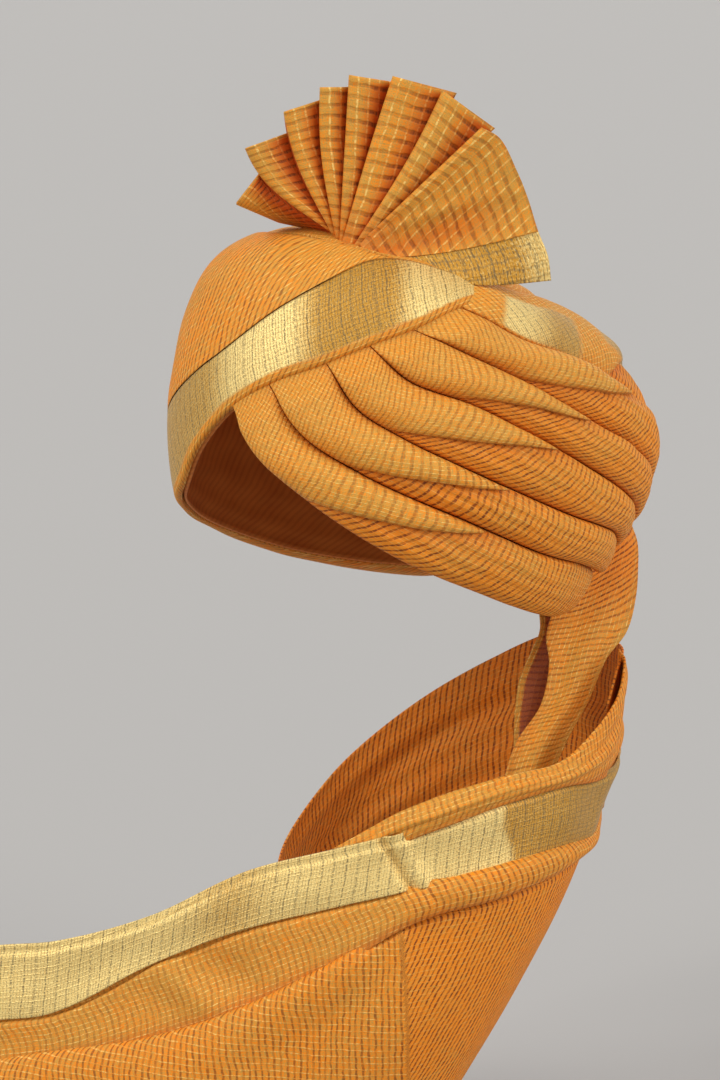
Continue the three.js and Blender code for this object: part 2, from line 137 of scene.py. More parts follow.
def through(rows, even=False, closed=False):
    """A smooth curve through rows of numbers, read by a share of its sections from 0 to 1."""
    rows = np.asarray(rows, float)
    if rows.ndim == 1:
        rows = rows[:, None]
    if closed:
        rows = np.vstack([rows[-1], rows, rows[:2]])
    else:
        rows = np.vstack([2 * rows[0] - rows[1], rows, 2 * rows[-1] - rows[-2]])
    gap = np.linalg.norm(np.diff(rows, axis=0), axis=1) ** 0.5
    gap = np.ones_like(gap) if even else np.maximum(gap, 1e-4)
    sections = len(rows) - 3

    def at(share):
        place = np.clip(np.asarray(share, float), 0, 1) * sections
        k = np.minimum(place.astype(int), sections - 1)
        w = (place - k)[..., None]
        a, b, c, d = rows[k], rows[k + 1], rows[k + 2], rows[k + 3]
        g0, g1, g2 = gap[k][..., None], gap[k + 1][..., None], gap[k + 2][..., None]
        start = ((b - a) / g0 - (c - a) / (g0 + g1) + (c - b) / g1) * g1
        finish = ((c - b) / g1 - (d - b) / (g1 + g2) + (d - c) / g2) * g1
        value = b + start * w + (3 * (c - b) - 2 * start - finish) * w**2
        value = value + (2 * (b - c) + start + finish) * w**3
        return value if rows.shape[1] > 1 else value[..., 0]

    return at


def smooth(value, low, high):
    """0 below low, 1 above high, and an even rise between."""
    share = np.clip((value - low) / (high - low), 0, 1)
    return share * share * (3 - 2 * share)


def grain(points, size, seed):
    """Smooth noise from -1 to 1 at points in millimetres, with lumps of about size."""
    shift = Vector((seed * 7.3, seed * 3.1, seed * 5.7))
    flat = points.reshape(-1, points.shape[-1]) / size
    return np.array([noise.noise(Vector(p) + shift) for p in flat]).reshape(points.shape[:-1])


def shares(steps, rows):
    """The two shares from 0 to 1 of every vertex of a grid."""
    return np.meshgrid(np.linspace(0, 1, steps + 1), np.linspace(0, 1, rows + 1), indexing="ij")


def cloth_lengths(points):
    """How far along and over the cloth each vertex of a grid lies, in millimetres."""
    along = np.zeros(points.shape[:2])
    along[1:] = np.cumsum(np.linalg.norm(np.diff(points, axis=0), axis=2), axis=0)
    over = np.zeros(points.shape[:2])
    over[:, 1:] = np.cumsum(np.linalg.norm(np.diff(points, axis=1), axis=2), axis=1)
    even = along.mean(axis=1, keepdims=True)
    return (along + even) / 2, over - over[:, [over.shape[1] // 2]]


def laid_flat(points, lean=0.0):
    """Where each vertex of a grid lies on the flat cloth, whose ribs lean by a share."""
    along, over = cloth_lengths(points)
    return np.stack([along + lean * over, over], -1)


def cloth_piece(name, points, weave, marks, round_section=False, round_length=False):
    """A piece of cloth from a grid of points in millimetres. weave is where each vertex lies on the
    flat cloth, and marks are numbers that its material reads."""
    steps, rows = points.shape[0] - 1, points.shape[1] - 1
    if round_section:
        points[:, -1] = points[:, 0]
    bm = bmesh.new()
    bmesh.ops.create_grid(bm, x_segments=steps, y_segments=rows, size=0.5)
    flat_cloth = bm.loops.layers.uv.new("weave")
    layers = [(bm.verts.layers.float.new(mark), values) for mark, values in marks.items()]
    bm.verts.index_update()
    cells = [(round((v.co.x + 0.5) * steps), round((v.co.y + 0.5) * rows)) for v in bm.verts]
    for v, (i, j) in zip(bm.verts, cells):
        v.co = points[i, j] / 1000
        for layer, values in layers:
            v[layer] = values[i, j]
    for face in bm.faces:
        face.smooth = True
        for loop in face.loops:
            i, j = cells[loop.vert.index]
            loop[flat_cloth].uv = weave[i, j]
    if round_section or round_length:
        bmesh.ops.remove_doubles(bm, verts=bm.verts, dist=2e-6)
    if round_section:
        bmesh.ops.holes_fill(bm, edges=[edge for edge in bm.edges if edge.is_boundary])
    bmesh.ops.recalc_face_normals(bm, faces=bm.faces)
    mesh = bpy.data.meshes.new(name)
    bm.to_mesh(mesh)
    bm.free()
    piece = bpy.data.objects.new(name, mesh)
    bpy.context.scene.collection.objects.link(piece)
    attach(piece, "root")
    return piece


def wall(piece, thickness):
    """Gives a single sheet its thickness."""
    solid = piece.modifiers.new("thickness", "SOLIDIFY")
    solid.thickness = thickness / 1000
    solid.offset = 0
    solid.use_even_offset = False


class Thread:
    """A socket in a material, on which arithmetic adds Math nodes."""

    def __init__(self, tree, socket):
        self.tree, self.socket = tree, socket

    def node(self, kind, settings=None, inputs=None, output=0):
        """The output of a new node, with its settings made first and then its sockets filled."""
        made = self.tree.nodes.new(kind)
        for key, value in (settings or {}).items():
            if key == "stops":
                ramp = made.color_ramp
                for place, colour in value[2:]:
                    ramp.elements.new(place)
                for element, (place, colour) in zip(ramp.elements, sorted(value)):
                    element.position, element.color = place, (*colour, 1)
            else:
                setattr(made, key, value)
        for key, value in (inputs or {}).items():
            if isinstance(value, Thread):
                self.tree.links.new(value.socket, made.inputs[key])
            else:
                made.inputs[key].default_value = value
        return Thread(self.tree, made.outputs[output])

    def maths(self, operation, *others, clamp=False):
        inputs = {0: self, **dict(enumerate(others, 1))}
        return self.node("ShaderNodeMath", {"operation": operation, "use_clamp": clamp}, inputs)

    def __add__(self, other):
        return self.maths("ADD", other)

    def __sub__(self, other):
        return self.maths("SUBTRACT", other)

    def __rsub__(self, other):
        return self.node("ShaderNodeMath", {"operation": "SUBTRACT"}, {0: other, 1: self})

    def __mul__(self, other):
        return self.maths("MULTIPLY", other)

    __radd__ = __add__
    __rmul__ = __mul__

    def step(self, low, high, start=0.0, end=1.0):
        """An even rise from start to end as this value goes from low to high."""
        return self.node(
            "ShaderNodeMapRange",
            {"interpolation_type": "SMOOTHSTEP"},
            {"Value": self, "From Min": low, "From Max": high, "To Min": start, "To Max": end},
        )

    def blend(self, first, second):
        """The first colour where this value is 0, and the second where it is 1."""
        made = self.tree.nodes.new("ShaderNodeMix")
        made.data_type = "RGBA"
        self.tree.links.new(self.socket, made.inputs["Factor"])
        for socket, colour in ((made.inputs[6], first), (made.inputs[7], second)):
            if isinstance(colour, Thread):
                self.tree.links.new(colour.socket, socket)
            else:
                socket.default_value = (*colour, 1)
        return Thread(self.tree, made.outputs[2])

    def noise(self, scale, detail=2.0, rough=0.5):
        """Noise from 0 to 1 over this position."""
        return self.node(
            "ShaderNodeTexNoise",
            {"noise_dimensions": "2D"},
            {"Vector": self, "Scale": scale, "Detail": detail, "Roughness": rough},
        )

    def line(self, pitch, width):
        """1 on lines a pitch apart and 0 between them; width is the share of the pitch."""
        near = (self * (1 / pitch)).maths("FRACT") - 0.5
        return near.maths("ABSOLUTE").step(0.5 - width, 0.5 - width * 0.35)


def linear(red, green, blue):
    """A colour given as the 0 to 255 of a screen, in the linear numbers that shaders take."""
    return tuple(((c / 255 + 0.055) / 1.055) ** 2.4 for c in (red, green, blue))


def new_material(name):
    """A new material, its node tree and its shader."""
    material = bpy.data.materials.new(name)
    material.use_nodes = True
    tree = material.node_tree
    tree.nodes.clear()
    shader = tree.nodes.new("ShaderNodeBsdfPrincipled")
    output = tree.nodes.new("ShaderNodeOutputMaterial")
    tree.links.new(shader.outputs[0], output.inputs[0])
    return material, tree, shader


LINING_DARK = linear(172, 88, 22)
LINING_LIGHT = linear(214, 128, 50)


def lining_silk():
    material, tree, shader = new_material("lining_silk")
    place = Thread(tree, tree.nodes.new("ShaderNodeUVMap").outputs[0])
    place.socket.node.uv_map = "weave"
    axis = [place.node("ShaderNodeSeparateXYZ", None, {0: place}, k) for k in (0, 1)]
    ribs = axis[0].line(3.2, 0.3)
    cloudy = place.noise(0.08, 3)
    colour = (cloudy * 0.7 + ribs * 0.3).blend(LINING_LIGHT, LINING_DARK)
    tree.links.new(colour.socket, shader.inputs["Base Color"])
    shader.inputs["Roughness"].default_value = 0.75
    return material


lining = lining_silk()
turns, rings = shares(144, 36)
rim_at = through(aim(RIM), closed=True)
edge = rim_at(turns)
edge /= np.linalg.norm(edge, axis=-1, keepdims=True)
upward = edge + (np.array([0.0, 0.0, 1.0]) - edge) * rings[..., None]
tidy_folds = 0.35 * np.sin(rings * 60 + np.sin(turns * 2 * math.pi) * 2)
wrap_points = on_head(upward, tidy_folds - 0.6)
weave = laid_flat(wrap_points)
inner_wrap = cloth_piece("inner_wrap_cloth", wrap_points, weave, {}, round_length=True)
wall(inner_wrap, INNER_CLOTH)
inner_wrap.data.materials.append(lining)
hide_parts("inner_wrap")

# Rolls
# The cloth is twisted into soft padded rolls that run from under the front panel round the
# wearer's left to the nape. Each is a folded leaf that laps over the next part of its own roll,
# so a crease crosses it on the slant. The silk is orange, shot with gold, with rust ribs.
SEAMS = {
    "rim": [(11, -27), (21, -36), (37, -42), (63, -47), (96, -47), (124, -44), (151, -37)],
    "seam_1": [(22, -20), (34, -29), (51, -33), (80, -34), (104, -33), (127, -29), (158, -24)],
    "seam_2": [(36, -11), (46, -19), (59, -22), (80, -23), (105, -22), (133, -18), (164, -18)],
    "seam_3": [(45, -3), (56, -8), (72, -8), (90, -9), (110, -9), (138, -9), (167, -12)],
    "seam_4": [(55, 5), (67, 4), (84, 3), (101, 2), (120, 2), (142, 1), (169, -6)],
    "seam_5": [(62, 16), (81, 14), (97, 15), (112, 14), (128, 13), (148, 8), (171, -1)],
    "crown_1": [(60, 27), (82, 33), (100, 38), (120, 39), (142, 30), (158, 17), (173, 4)],
    "crown_2": [(25, 27), (34, 45), (55, 63), (110, 70), (155, 52), (170, 27), (178, 9)],
    "crown_3": [(-15, 27), (-24, 45), (-48, 63), (-112, 68), (-155, 50), (-170, 27), (-178, 10)],
    "panel_top": [(-46, 25), (-60, 26), (-85, 25), (-110, 20), (-135, 12), (-155, 4), (-172, -2)],
}
# Name, lower and upper seam, heights at the front, middle and nape, where the crease starts on
# the lower seam and ends on the upper one, and the share of its seams that the roll follows.
ROLLS = [
    ("roll_1", "rim", "seam_1", (7, 18, 17), (0.33, 0.57), 0.955),
    ("roll_2", "seam_1", "seam_2", (8, 18, 19), (0.3, 0.55), 1),
    ("roll_3", "seam_2", "seam_3", (8, 18, 20), (0.28, 0.55), 1),
    ("roll_4", "seam_3", "seam_4", (8, 18, 23), (0.28, 0.52), 1),
    ("roll_5", "seam_4", "seam_5", (6, 16, 24), (0.3, 0.6), 1),
    ("crown_roll_1", "seam_5", "crown_1", (5, 9.5, 22), (0.5, 0.75), 1),
    ("crown_roll_2", "crown_1", "crown_2", (4, 6, 18), (0.4, 0.7), 1),
    ("crown_roll_3", "crown_2", "crown_3", (4, 7, 17), (0.45, 0.7), 1),
    ("crown_roll_4", "crown_3", "panel_top", (4, 7, 17), (0.4, 0.7), 1),
]
ROLL_STEPS = 200
ROLL_ROWS = 60
SEAM_GAP = 0.15
BASE_LIFT = 0.9
OUTER_SHARE = 0.86
SEAM_LIFT = 2.4
SEAM_DEPTH = 9.0
NOSE = 5.0
CREASE_DEPTH = 3.4
CREASE_REACH = 12.0
TUCKED_START = 0.03
TUCKED_END = 0.02
ROUND_END = 0.06
LEAF_SLOPE = math.radians(28)
CREASE_SPREAD = 0.22
CREASE_SLOPE = 0.42
CORE_LIFT = 8
CLOTH_OVER_ROLL = 1.35

SILK_ORANGE = linear(244, 142, 22)
SILK_TAN = linear(212, 155, 62)
SILK_OLIVE = linear(178, 134, 62)
# Rust painted as the shade in folds.
SILK_FOLD_SHADE = linear(190, 74, 2)
SILK_RIB = linear(150, 70, 12)
SILK_DARK = linear(104, 44, 12)
SILK_GOLD_LINE = linear(255, 216, 124)
ZARI_DEEP = linear(198, 142, 46)
# Pale gold painted as the highlight on the woven gold.
ZARI_HIGHLIGHT = linear(246, 218, 142)
ZARI_GREY = linear(104, 92, 66)
# Brown painted as the shade seen through sheer silk.
SHEER_SHADE_BROWN = linear(128, 62, 48)
RIB_PITCH = 3.1
GOLD_PITCH = 2.3
CHECK_PITCH = 4.4


def silk_cloth(name, rib_pitch=RIB_PITCH, gold_pitch=GOLD_PITCH, sheer=False):
    """Orange silk with rust ribs one way and thin gold threads the other. It reads three marks: how
    much gold shows in the weave, which in places is painted highlight; the painted shade of folds and
    creases; and zari, the woven gold."""
    material, tree, shader = new_material(name)
    place = Thread(tree, tree.nodes.new("ShaderNodeUVMap").outputs[0])
    place.socket.node.uv_map = "weave"

    def mark(attribute):
        made = tree.nodes.new("ShaderNodeAttribute")
        made.attribute_name = attribute
        return Thread(tree, made.outputs["Fac"])

    def stretched(along_x, along_y):
        spread = {"operation": "MULTIPLY"}
        return place.node("ShaderNodeVectorMath", spread, {0: place, 1: (along_x, along_y, 1)})

    tan_and_highlight, fold_shade, zari = mark("tan_and_highlight"), mark("fold_shade"), mark("zari")
    wander = (place.noise(0.05, 1) - 0.5) * 2.2 + (place.noise(0.3, 1) - 0.5) * 0.9
    ribs_at = place.node("ShaderNodeSeparateXYZ", None, {0: place}, 0) + wander
    gold_at = place.node("ShaderNodeSeparateXYZ", None, {0: place}, 1) + wander * 0.7
    streaks_up = stretched(2.0, 0.22).noise(1.0, 2, 0.6) - 0.5
    streaks_along = stretched(0.22, 2.0).noise(1.0, 2, 0.6) - 0.5
    speckle = place.noise(1.8, 1, 0.6)
    cloudy = place.noise(0.04, 2)

    # The ground: orange one way and gold the other, mixed thread by thread, and more gold where the
    # gold mark is high, in places a painted highlight.
    ground = tan_and_highlight * 0.9 + streaks_up * 2.4 + streaks_along * 2.4 + (speckle - 0.5) * 1.8
    ground = (ground + (cloudy - 0.5) * 0.9).maths("MULTIPLY", 1.0, clamp=True)
    colour = ground.blend(SILK_ORANGE, SILK_TAN)
    olive = speckle.step(0.46, 0.62) * streaks_up.step(-0.04, 0.12) * tan_and_highlight
    colour = (olive * 0.75).blend(colour, SILK_OLIVE)
    # Painted shade: in folds and creases the silk is painted rust-dark.
    colour = fold_shade.maths("MULTIPLY", 0.7, clamp=True).blend(colour, SILK_FOLD_SHADE)

    # The ribs are rust dashes, broken where gold threads pass over them.
    gold = gold_at.line(gold_pitch, 0.13)
    ribs = ribs_at.line(rib_pitch, 0.24)
    worn = stretched(0.5, 0.16).noise(1.0, 1).step(0.35, 0.62)
    rib_ink = ribs * (1 - gold * 0.7) * (worn * 0.5 + 0.45) * (1.15 - tan_and_highlight * 0.8)
    rib_colour = streaks_along.step(-0.1, 0.1).blend(SILK_RIB, SILK_DARK)
    colour = rib_ink.maths("MINIMUM", 0.92).blend(colour, rib_colour)
    shown = stretched(0.16, 0.5).noise(1.0, 1).step(0.36, 0.54)
    shown = shown * stretched(0.9, 0.4).noise(1.0, 1).step(0.3, 0.6)
    gold_ink = gold * (1 - ribs * 0.8) * (shown * 0.85 + 0.1) * (tan_and_highlight * 0.9 + 0.3)
    # The gold threads are dimmed by the same painted fold shade.
    gold_ink = gold_ink.maths("MINIMUM", 1.0) * (1 - fold_shade * 0.5)
    colour = (gold_ink * 0.85).blend(colour, SILK_GOLD_LINE)

    # The woven gold has close grey cross threads, a few of them dark, and is painted lighter where the
    # gold mark is 1, a painted highlight.
    cross = ribs_at.line(1.45, 0.24) * stretched(1.2, 1.6).noise(1.0, 1).step(0.38, 0.6)
    strong = ribs_at.line(5.2, 0.1) * stretched(0.4, 1.4).noise(1.0, 1).step(0.36, 0.56)
    length = gold_at.line(1.9, 0.14) * 0.35
    glitter = (speckle - 0.5) * 1.3 + streaks_up * 0.8
    # Painted highlight on the woven gold.
    gold_highlight = (tan_and_highlight * 0.85 + glitter).maths("MULTIPLY", 1.0, clamp=True)
    band_ground = gold_highlight.blend(ZARI_DEEP, ZARI_HIGHLIGHT)
    band_ink = cross * (0.75 - tan_and_highlight * 0.3) + strong * 0.6 + length * (1 - tan_and_highlight * 0.6)
    band_ink = band_ink.maths("MINIMUM", 0.8)
    colour = zari.blend(colour, band_ink.blend(band_ground, ZARI_GREY))
    # Painted shade: sheer silk is painted darker brown, the shade behind it showing through.
    if sheer:
        colour = (speckle * 0.5 + 0.45 - tan_and_highlight * 0.6).blend(colour, SHEER_SHADE_BROWN)
    tree.links.new(colour.socket, shader.inputs["Base Color"])
    shader.inputs["Specular IOR Level"].default_value = 0.3
    rough = zari * -0.22 + (0.66 - gold_ink * 0.2)
    tree.links.new(rough.socket, shader.inputs["Roughness"])
    tree.links.new((zari * 0.35 + gold_ink * 0.2).socket, shader.inputs["Metallic"])
    height = gold * 0.4 - ribs * (fold_shade * 0.8 + 0.7) * (1 - zari) + (speckle - 0.5) * 0.5
    height = height - cross * zari * 0.4
    bump = place.node(
        "ShaderNodeBump", None, {"Height": height, "Strength": 0.5, "Distance": 0.0006}
    )
    tree.links.new(bump.socket, shader.inputs["Normal"])
    return material


silk = silk_cloth("orange_silk")


def run_on(curve):
    """A curve that goes straight on past both its ends."""
    first, last = curve(0.01) - curve(0.0), curve(1.0) - curve(0.99)

    def at(share):
        before, after = np.minimum(share, 0)[..., None], np.maximum(share - 1, 0)[..., None]
        return curve(share) + (before * first + after * last) * 100

    return at


def roll_points(low, high, heights, fold, end):
    """The grid of a roll, the share across and along it of each vertex, the painted shade of its folds
    and creases, where it lies on the flat cloth, and how much gold shows there, partly painted
    highlight."""
    length_share, around = shares(ROLL_STEPS, ROLL_ROWS)
    length_share = length_share * (1 + TUCKED_START + TUCKED_END) - TUCKED_START
    low_at, high_at = run_on(through(aim(SEAMS[low]))), run_on(through(aim(SEAMS[high])))
    height_at = through(heights, even=True)
    outside = around <= OUTER_SHARE
    angle = np.where(outside, around / OUTER_SHARE, (1 - around) / (1 - OUTER_SHARE)) * math.pi
    middle = (fold[0] + fold[1]) / 2
    # Towards the front the upper roll laps over the lower; near the crease the lower one does.
    lap = smooth(length_share, 0.1, 0.4) * (1 - smooth(length_share, 0.65, 0.95))
    peak = 0.36 + 0.26 * lap
    rising = angle < math.pi / 2
    v = np.where(rising, peak * (1 - np.cos(angle)), peak - (1 - peak) * np.cos(angle))
    sharp = np.where(rising, 0.5 + 0.45 * lap, 0.95 - 0.45 * lap)
    swell = np.clip(np.sin(angle), 0, 1) ** sharp
    slant = np.exp(-(((length_share - middle) / CREASE_SPREAD) ** 2))
    t = length_share + (fold[1] - fold[0]) * (v - 0.5) * slant * smooth(length_share, -0.03, 0.1)

    low_edge, high_edge = low_at(t), high_at(t * end)
    width = np.linalg.norm(on_head(low_edge, 0 * t) - on_head(high_edge, 0 * t), axis=-1)
    margin = SEAM_GAP / np.maximum(width, 4 * SEAM_GAP)
    inset = (margin + v * (1 - 2 * margin))[..., None]
    direction = low_edge + (high_edge - low_edge) * inset

    core = on_head(direction, 0 * t + CORE_LIFT)
    run = np.linalg.norm(np.diff(core[:, ROLL_ROWS // 2], axis=0), axis=-1)
    run = np.concatenate([[0], np.cumsum(run)])
    length = run[-1]
    past = (length_share - middle) * length * CREASE_SLOPE
    before = np.clip(1 + past / NOSE, 0, 1)
    nose = (CREASE_DEPTH - 0.9) * (1 - np.sqrt(1 - before**2))
    after = CREASE_DEPTH * np.exp(-np.maximum(past, 0) / CREASE_REACH)
    drop = np.where(past < 0, nose, after)
    height = height_at(t)
    seam_lift = np.maximum(SEAM_LIFT, height - SEAM_DEPTH + 4.5 * smooth(t, 0.55, 0.9))
    pressed = smooth(t, -0.005, 0.09)
    # Its far end is rounded off where it goes in under the tuck.
    ended = np.sqrt(1 - np.clip(1 - (1 + TUCKED_END - length_share) / ROUND_END, 0, 1) ** 2)
    for least, kept in ((2.4, pressed), (4.0, ended)):
        height = least + (height - least) * kept
        seam_lift = np.minimum(seam_lift, 2.0 + (seam_lift - 2.0) * kept)
    gathers = np.exp(-np.maximum(past, 0) / 30) * (past > 0) * 0.5
    gathers = gathers * np.sin(v * 26 + 3 * length_share)
    drop = drop * np.minimum(1, (height - seam_lift) / 8)
    lift = seam_lift + (height - seam_lift - drop + gathers) * swell
    lift = np.where(outside, lift, BASE_LIFT)
    points = on_head(direction, lift)
    dents = 0.35 * grain(points, 14, 3) + 0.9 * grain(points, 30, 4)
    points = points + (dents * outside * swell)[..., None]

    along = t * length / (1 + TUCKED_START + TUCKED_END)
    over = (v - 0.5) * width * CLOTH_OVER_ROLL
    # On the leaf the ribs lean forward, less and less, and the gold follows the crease.
    lean = 0.35 + 0.8 * (1 - smooth(t, 0.05, middle))
    leaf_ribs = 0.85 * (along + lean * over)
    leaf_gold = over * math.cos(LEAF_SLOPE) - along * math.sin(LEAF_SLOPE)
    rear_ribs = along - over * 0.05 + 0.005 * over**2
    rear_gold = over + along * 0.12
    front = past < 0
    weave = np.stack([np.where(front, leaf_ribs, rear_ribs), np.where(front, leaf_gold, rear_gold)], -1)
    # Painted shade where the roll dips to its seams, and on both sides of its crease.
    fold_shade = 0.8 * np.clip(1 - swell * 1.3, 0, 1) ** 1.3
    fold_shade = np.maximum(fold_shade, 0.7 * np.exp(-np.maximum(past, 0) / 6) * (past >= 0))
    fold_shade = np.maximum(fold_shade, 0.45 * np.exp(np.minimum(past, 0) / 0.9) * (past < 0))
    # The leaves, and the upper side of the rear, are painted more gold: partly the weave, partly
    # painted highlight.
    worn = 0.5 + 0.5 * grain(points, 30, 11)
    tan_and_highlight = np.where(front, 0.6 + 0.35 * worn, 0.12 + 0.55 * worn * smooth(v, 0.25, 0.7))
    return points, v, t, fold_shade, weave, tan_and_highlight


def lay_roll(name, low, high, heights, fold, end):
    points, v, t, fold_shade, weave, tan_and_highlight = roll_points(low, high, heights, fold, end)
    zari = np.zeros_like(fold_shade)
    if name == "crown_roll_1":
        zari = smooth(t, 0.1, 0.12) * (1 - smooth(t, 0.36, 0.39)) * smooth(v, 0.02, 0.05)
        zari = zari * (1 - smooth(v, 0.55, 0.6))
        zari = np.maximum(zari, smooth(t, 0.52, 0.54) * smooth(v, 0.45, 0.5))
        # The gold patch is painted lighter at its front end and duller further back, a painted
        # highlight.
        tan_and_highlight = np.where(zari > 0.5, 0.95 - 0.75 * smooth(t, 0.16, 0.3), tan_and_highlight)
    marks = {"fold_shade": fold_shade, "tan_and_highlight": tan_and_highlight, "zari": zari}
    piece = cloth_piece(name + "_silk", points, weave, marks, round_section=True)
    piece.data.materials.append(silk)
    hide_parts(name)


for row in ROLLS:
    lay_roll(*row)

# Front panel
# The last wrap lies flat over the brow and round the wearer's right, and ends in a point on the
# left. Its lower edge is woven gold, with a narrow orange hem turned under.
# Each row: lower station, upper station, share of its width that is gold, height off the head.
PANEL = [
    ((70, 22), (71, 24), 1, 3.4),
    ((63, 15), (62, 26), 1, 4),
    ((54, 5), (50, 25), 1, 4.4),
    ((45, -3), (38, 24), 0.9, 4.4),
    ((34, -12), (26, 24), 0.62, 4.4),
    ((21, -20), (14, 24), 0.44, 4.2),
    ((9, -28), (2, 24), 0.33, 3.8),
    ((-4, -37), (-10, 25), 0.31, 3.4),
    ((-19, -45), (-26, 26), 0.31, 3.4),
    ((-50, -48), (-46, 26), 0.28, 4.5),
    ((-84, -47), (-85, 28), 0.24, 9),
    ((-118, -43), (-122, 20), 0.22, 13),
    ((-146, -37), (-150, 8), 0.22, 15),
    ((-167, -31), (-170, -2), 0.22, 14),
]
PANEL_ALL_GOLD = 2.1
PANEL_FOLDS = 3
PANEL_FOLD_DEPTH = 3
PANEL_FOLDS_FROM = 0.62
PANEL_EDGE_REACH = 5
HEM_WIDTH = 4.8

panel_low = through(aim([row[0] for row in PANEL]))
panel_high = through(aim([row[1] for row in PANEL]))
panel_gold = through([row[2] for row in PANEL], even=True)
panel_lift = through([row[3] for row in PANEL], even=True)


def panel_split(t):
    share = np.minimum(panel_gold(t), 1)[..., None]
    return panel_low(t) + (panel_high(t) - panel_low(t)) * share


def panel_part(low_at, high_at, lift_at, steps, rows, edges):
    """A closed layer on the head between two curves. edges says which edges are rounded."""
    share, around = shares(steps, rows)
    outside = around <= OUTER_SHARE
    v = np.where(outside, around / OUTER_SHARE, (1 - around) / (1 - OUTER_SHARE))
    low_edge, high_edge = low_at(share), high_at(share)
    width = np.linalg.norm(on_head(low_edge, 0 * v) - on_head(high_edge, 0 * v), axis=-1)
    margin = SEAM_GAP / np.maximum(width, 4 * SEAM_GAP)
    inset = (margin + v * (1 - 2 * margin))[..., None]
    direction = low_edge + (high_edge - low_edge) * inset
    lift = lift_at(share, v)
    from_low, from_high = v * width, (1 - v) * width
    for rounded, distance in zip(edges, (from_low, from_high)):
        if rounded:
            nose = np.clip(1 - distance / np.minimum(lift, PANEL_EDGE_REACH), 0, 1)
            lift = BASE_LIFT + (lift - BASE_LIFT) * np.sqrt(1 - nose**2)
    lift = np.where(outside, lift, BASE_LIFT)
    points = on_head(direction, lift)
    points = points + 0.3 * (grain(points, 22, 5) * outside)[..., None]
    return points, v, width, share


def panel_fold(t, v):
    """How far the folds on the wearer's right lift the panel off the head."""
    depth = PANEL_FOLD_DEPTH * smooth(t, PANEL_FOLDS_FROM, 0.82)
    return depth * np.sin(2 * math.pi * PANEL_FOLDS * v)


points, v, width, share = panel_part(
    panel_low,
    panel_split,
    lambda t, v: panel_lift(t) * (1 - 0.7 * smooth(t, 0.92, 1)),
    260,
    34,
    (True, False),
)
along, over = cloth_lengths(points)
from_low = v * width
slant = 0.8 * np.minimum(from_low, HEM_WIDTH)
weave = np.stack([along + slant - from_low * 0.12, from_low], -1)
# Painted highlight: the gold is painted lighter where it faces the light, and dull between.
across = points @ ACROSS
shine = 0.3 + 0.7 * smooth(across, -80, -66)
shine = shine * (1 - smooth(across, -46, -28)) + smooth(across, -4, 10)
on_gold = smooth(from_low, HEM_WIDTH - 0.3, HEM_WIDTH + 0.3)
marks = {
    "zari": on_gold,
    "tan_and_highlight": on_gold * shine + (1 - on_gold) * 0.65,
    # Painted shade along its lower edge and along the line between the hem and the gold.
    "fold_shade": 0.4 * (1 - smooth(from_low, 0, 1.2)) + 0.35 * (np.abs(from_low - HEM_WIDTH) < 0.4),
}
front_border = cloth_piece("front_border_zari", points, weave, marks, round_section=True)
zari = silk_cloth("gold_zari")
front_border.data.materials.append(zari)
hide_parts("front_border")

main_from = PANEL_ALL_GOLD / (len(PANEL) - 1)


def main_at(t):
    return main_from + t * (1 - main_from)


points, v, width, share = panel_part(
    lambda t: panel_split(main_at(t)),
    lambda t: panel_high(main_at(t)),
    lambda t, v: (panel_lift(main_at(t)) + panel_fold(main_at(t), v)) * (1 - 0.7 * smooth(t, 0.9, 1)),
    240,
    80,
    (False, True),
)
along, over = cloth_lengths(points)
from_low = v * width
crease = smooth(share, 0.2, 0.34)
ribs_over = from_low * (0.75 - 0.35 * crease)
weave = np.stack([along * 0.75 + ribs_over, from_low + along * 0.05], -1)
marks = {
    "zari": 0 * v,
    "tan_and_highlight": 0.75 - 0.3 * crease,
    # Painted shade near its top edge.
    "fold_shade": 0.35 * (1 - smooth(width - from_low, 0, 5)),
}
front_panel = cloth_piece("front_panel_silk", points, weave, marks, round_section=True)
fine_silk = silk_cloth("orange_silk_close", rib_pitch=2.3, gold_pitch=2.6)
front_panel.data.materials.append(fine_silk)
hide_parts("front_panel")

# Nape tuck
# The loose end of the cloth, tucked up over the place where the rolls meet at the nape.
# Each row: left station, right station, height off the head.
TUCK = [
    ((149, -39), (-165, -33), 9),
    ((153, -28), (-165, -25), 14),
    ((160, -16), (-167, -15), 16),
    ((166, -6), (-170, -6), 15),
    ((172, 3), (-173, 4), 12),
]
tuck_left = through(aim([row[0] for row in TUCK]))
tuck_right = through(aim([row[1] for row in TUCK]))
tuck_lift = through([row[2] for row in TUCK], even=True)


def tuck_lift_at(t, v):
    """Full between its sides, with shallow folds, and rounded off at its foot."""
    full = 6 + (tuck_lift(t) - 6) * np.sin(math.pi * v) ** 0.6 + 0.7 * np.sin(v * 17 + t * 3)
    return BASE_LIFT + (full - BASE_LIFT) * np.sqrt(1 - np.clip(1 - t / 0.12, 0, 1) ** 2)


points, v, width, share = panel_part(
    tuck_left,
    tuck_right,
    tuck_lift_at,
    90,
    50,
    (True, True),
)
along, over = cloth_lengths(points)
weave = np.stack([along, v * width], -1)
# Painted shade towards both its sides.
marks = {"zari": 0 * v, "tan_and_highlight": 0.3 + 0 * v, "fold_shade": 0.4 * (1 - np.sin(math.pi * v))}
nape_tuck = cloth_piece("nape_tuck_silk", points, weave, marks, round_section=True)
nape_tuck.data.materials.append(silk)
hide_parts("nape_tuck")

